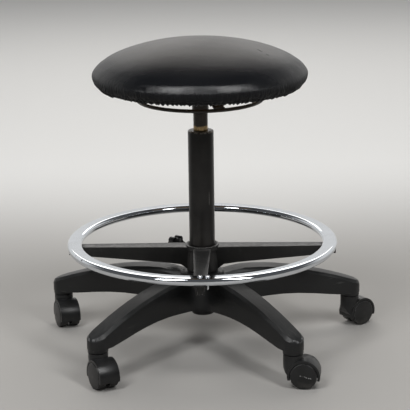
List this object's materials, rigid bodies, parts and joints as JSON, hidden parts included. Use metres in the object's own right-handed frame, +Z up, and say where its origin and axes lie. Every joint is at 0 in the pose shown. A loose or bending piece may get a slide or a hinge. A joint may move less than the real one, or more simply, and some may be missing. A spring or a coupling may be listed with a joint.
{
  "type": "salon stool",
  "caption": "Height-adjustable round padded stool on a gas lift with a ring release, sliding chrome foot ring and star base on twin-wheel casters.",
  "frame": {"origin": "on the floor, under the middle of the column", "axes": "+Z up along the column; the side that faces the viewer in the picture looks along -Y; +X to the viewer's right"},
  "size_m": [0.658, 0.6194, 0.6042],
  "materials": {
    "base_nylon": "matte, grained, rubbed bright at the arm ends",
    "column_paint": "satin black powder coat",
    "bush_plastic": "matte",
    "plain_steel": "satin zinc",
    "brass": "turned",
    "rod_chrome": "ground and chromed",
    "bump_rubber": "matte",
    "cylinder_paint": "satin bronze-grey enamel, worn by the bush",
    "bronze_paint": "satin dark bronze enamel",
    "plywood": "plain plywood",
    "foam": "open-cell foam",
    "cover_leather": "semi-gloss, fine grain",
    "ring_chrome": "mirror",
    "spider_paint": "satin black paint, rubbed grey on top",
    "knob_plastic": "glossy",
    "caster_nylon": "satin, scuffed"
  },
  "bodies": {
    "base": {"star_base": "base_nylon", "column_tube": "column_paint", "guide_bush": "bush_plastic", "column_end_plate": "plain_steel", "bearing_lower_race": "plain_steel", "bearing_balls": "plain_steel", "bearing_cage": "brass", "caster_grip_rings": "plain_steel"},
    "piston_rod": {"piston_rod": "rod_chrome", "piston": "brass", "rod_clip": "plain_steel", "bearing_upper_race": "plain_steel", "bump_stop": "bump_rubber"},
    "seat": {"gas_cylinder": "cylinder_paint", "cylinder_end_guide": "plain_steel", "pin_guide": "brass", "socket_sleeve": "bronze_paint", "seat_bracket": "column_paint", "bracket_bolts": "plain_steel", "tee_nuts": "plain_steel", "seat_board": "plywood", "seat_foam": "foam", "seat_cover": "cover_leather", "cover_staples": "plain_steel"},
    "release_ring": {"release_hoop": "bronze_paint", "release_strips": "bronze_paint", "rocker_disc": "bronze_paint"},
    "release_pin": {"release_pin": "plain_steel"},
    "foot_ring": {"foot_ring": "ring_chrome", "ring_spider": "spider_paint", "ring_screws": "ring_chrome", "clamp_insert": "brass"},
    "clamp_pad": {"clamp_pad": "bush_plastic"},
    "clamp_knob": {"clamp_screw": "plain_steel", "clamp_knob": "knob_plastic"},
    "back_caster": {"back_hood": "caster_nylon", "back_stem": "plain_steel", "back_axle": "plain_steel"},
    "back_wheel_a": {"back_wheel_a": "caster_nylon"},
    "back_wheel_b": {"back_wheel_b": "caster_nylon"},
    "left_caster": {"left_hood": "caster_nylon", "left_stem": "plain_steel", "left_axle": "plain_steel"},
    "left_wheel_a": {"left_wheel_a": "caster_nylon"},
    "left_wheel_b": {"left_wheel_b": "caster_nylon"},
    "front_left_caster": {"front_left_hood": "caster_nylon", "front_left_stem": "plain_steel", "front_left_axle": "plain_steel"},
    "front_left_wheel_a": {"front_left_wheel_a": "caster_nylon"},
    "front_left_wheel_b": {"front_left_wheel_b": "caster_nylon"},
    "front_right_caster": {"front_right_hood": "caster_nylon", "front_right_stem": "plain_steel", "front_right_axle": "plain_steel"},
    "front_right_wheel_a": {"front_right_wheel_a": "caster_nylon"},
    "front_right_wheel_b": {"front_right_wheel_b": "caster_nylon"},
    "right_caster": {"right_hood": "caster_nylon", "right_stem": "plain_steel", "right_axle": "plain_steel"},
    "right_wheel_a": {"right_wheel_a": "caster_nylon"},
    "right_wheel_b": {"right_wheel_b": "caster_nylon"}
  },
  "joints": [
    {"name": "seat_swivel", "type": "hinge", "parent": "base", "child": "piston_rod", "pos_m": [0, 0, 0.07], "axis": [0, 0, 1], "continuous": true},
    {"name": "seat_lift", "type": "slide", "parent": "piston_rod", "child": "seat", "axis": [0, 0, 1], "range_m": [-0.025, 0.235]},
    {"name": "release_tilt", "type": "hinge", "parent": "seat", "child": "release_ring", "pos_m": [0, -0.022, 0.5147], "axis": [-1, 0, 0], "range_deg": [0, 6], "stiffness_Nm_per_rad": 4, "springref_deg": -14.32},
    {"name": "release_press", "type": "slide", "parent": "seat", "child": "release_pin", "axis": [0, 0, 1], "range_m": [-0.0025, 0]},
    {"name": "foot_ring_slide", "type": "slide", "parent": "base", "child": "foot_ring", "axis": [0, 0, 1], "range_m": [0, 0.22]},
    {"name": "clamp_press", "type": "slide", "parent": "foot_ring", "child": "clamp_pad", "axis": [-0.7071, 0.7071, 0], "range_m": [0, 0.0025]},
    {"name": "clamp_turn", "type": "hinge", "parent": "clamp_pad", "child": "clamp_knob", "pos_m": [-0.04243, 0.04243, 0.1783], "axis": [-0.7071, 0.7071, 0], "range_deg": [0, 720]},
    {"name": "back_swivel", "type": "hinge", "parent": "base", "child": "back_caster", "pos_m": [0.0196, 0.30637, 0.065], "axis": [0, 0, 1], "continuous": true},
    {"name": "back_roll_a", "type": "hinge", "parent": "back_caster", "child": "back_wheel_a", "pos_m": [0.00033, 0.29936, 0.025], "axis": [0.342, -0.9397, 0], "continuous": true},
    {"name": "back_roll_b", "type": "hinge", "parent": "back_caster", "child": "back_wheel_b", "pos_m": [0.00033, 0.29936, 0.025], "axis": [0.342, -0.9397, 0], "continuous": true},
    {"name": "left_swivel", "type": "hinge", "parent": "base", "child": "left_caster", "pos_m": [-0.28532, 0.11331, 0.065], "axis": [0, 0, 1], "continuous": true},
    {"name": "left_roll_a", "type": "hinge", "parent": "left_caster", "child": "left_wheel_a", "pos_m": [-0.27831, 0.09405, 0.025], "axis": [0.9397, 0.342, 0], "continuous": true},
    {"name": "left_roll_b", "type": "hinge", "parent": "left_caster", "child": "left_wheel_b", "pos_m": [-0.27831, 0.09405, 0.025], "axis": [0.9397, 0.342, 0], "continuous": true},
    {"name": "front_left_swivel", "type": "hinge", "parent": "base", "child": "front_left_caster", "pos_m": [-0.19594, -0.23634, 0.065], "axis": [0, 0, 1], "continuous": true},
    {"name": "front_left_roll_a", "type": "hinge", "parent": "front_left_caster", "child": "front_left_wheel_a", "pos_m": [-0.18631, -0.25444, 0.025], "axis": [0.8829, 0.4695, 0], "continuous": true},
    {"name": "front_left_roll_b", "type": "hinge", "parent": "front_left_caster", "child": "front_left_wheel_b", "pos_m": [-0.18631, -0.25444, 0.025], "axis": [0.8829, 0.4695, 0], "continuous": true},
    {"name": "front_right_swivel", "type": "hinge", "parent": "base", "child": "front_right_caster", "pos_m": [0.16423, -0.25938, 0.065], "axis": [0, 0, 1], "continuous": true},
    {"name": "front_right_roll_a", "type": "hinge", "parent": "front_right_caster", "child": "front_right_wheel_a", "pos_m": [0.18455, -0.26206, 0.025], "axis": [0.1305, 0.9914, 0], "continuous": true},
    {"name": "front_right_roll_b", "type": "hinge", "parent": "front_right_caster", "child": "front_right_wheel_b", "pos_m": [0.18455, -0.26206, 0.025], "axis": [0.1305, 0.9914, 0], "continuous": true},
    {"name": "right_swivel", "type": "hinge", "parent": "base", "child": "right_caster", "pos_m": [0.29744, 0.07604, 0.065], "axis": [0, 0, 1], "continuous": true},
    {"name": "right_roll_a", "type": "hinge", "parent": "right_caster", "child": "right_wheel_a", "pos_m": [0.31402, 0.08809, 0.025], "axis": [-0.5878, 0.809, 0], "continuous": true},
    {"name": "right_roll_b", "type": "hinge", "parent": "right_caster", "child": "right_wheel_b", "pos_m": [0.31402, 0.08809, 0.025], "axis": [-0.5878, 0.809, 0], "continuous": true}
  ],
  "couplings": [
    {"joint": "release_press", "follows": "release_tilt", "m_per_rad": -0.022},
    {"joint": "clamp_turn", "follows": "clamp_press", "rad_per_m": 5026.5}
  ]
}
